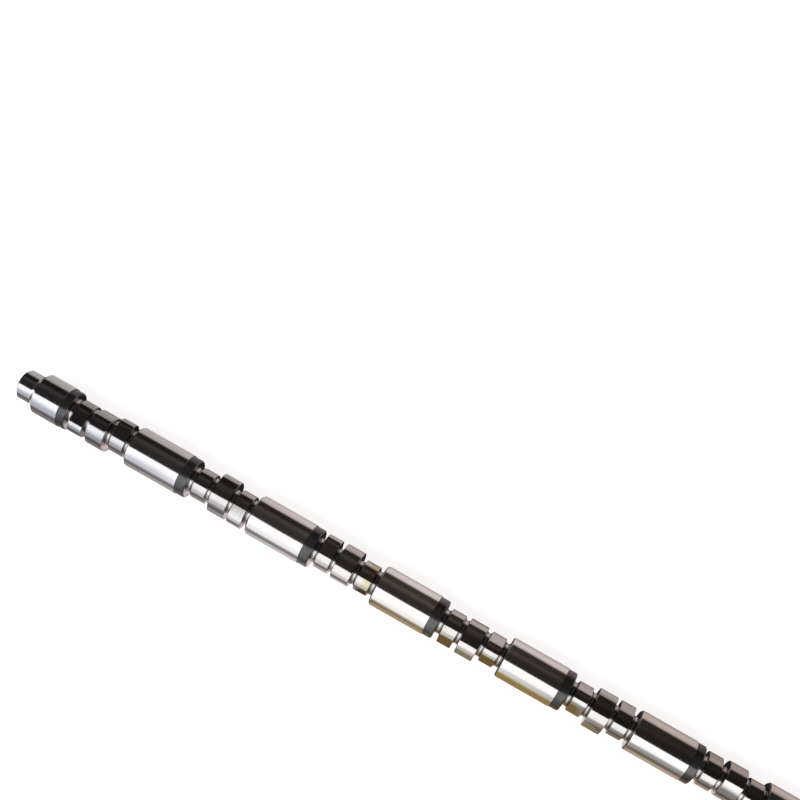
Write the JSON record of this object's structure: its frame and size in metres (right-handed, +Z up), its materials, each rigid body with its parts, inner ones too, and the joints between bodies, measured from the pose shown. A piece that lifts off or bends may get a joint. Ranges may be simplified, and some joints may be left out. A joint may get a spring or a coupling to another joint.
{
  "type": "camshaft",
  "caption": "Straight one-piece steel shaft with long ground bearing journals, three cam lobes between each pair of journals, a nose spigot and a keyed gear seat.",
  "frame": {"origin": "on the shaft's axis, at the middle of the ground length of journal 4", "axes": "+X along the shaft from the nose to the gear seat, +Z up, towards the keyway, +Y across"},
  "size_m": [1.1193, 0.0508, 0.051],
  "materials": {
    "ground_steel": "ground and polished journals and lobes, dark satin bands left as turned"
  },
  "bodies": {
    "root": {"camshaft": "ground_steel"}
  },
  "joints": []
}
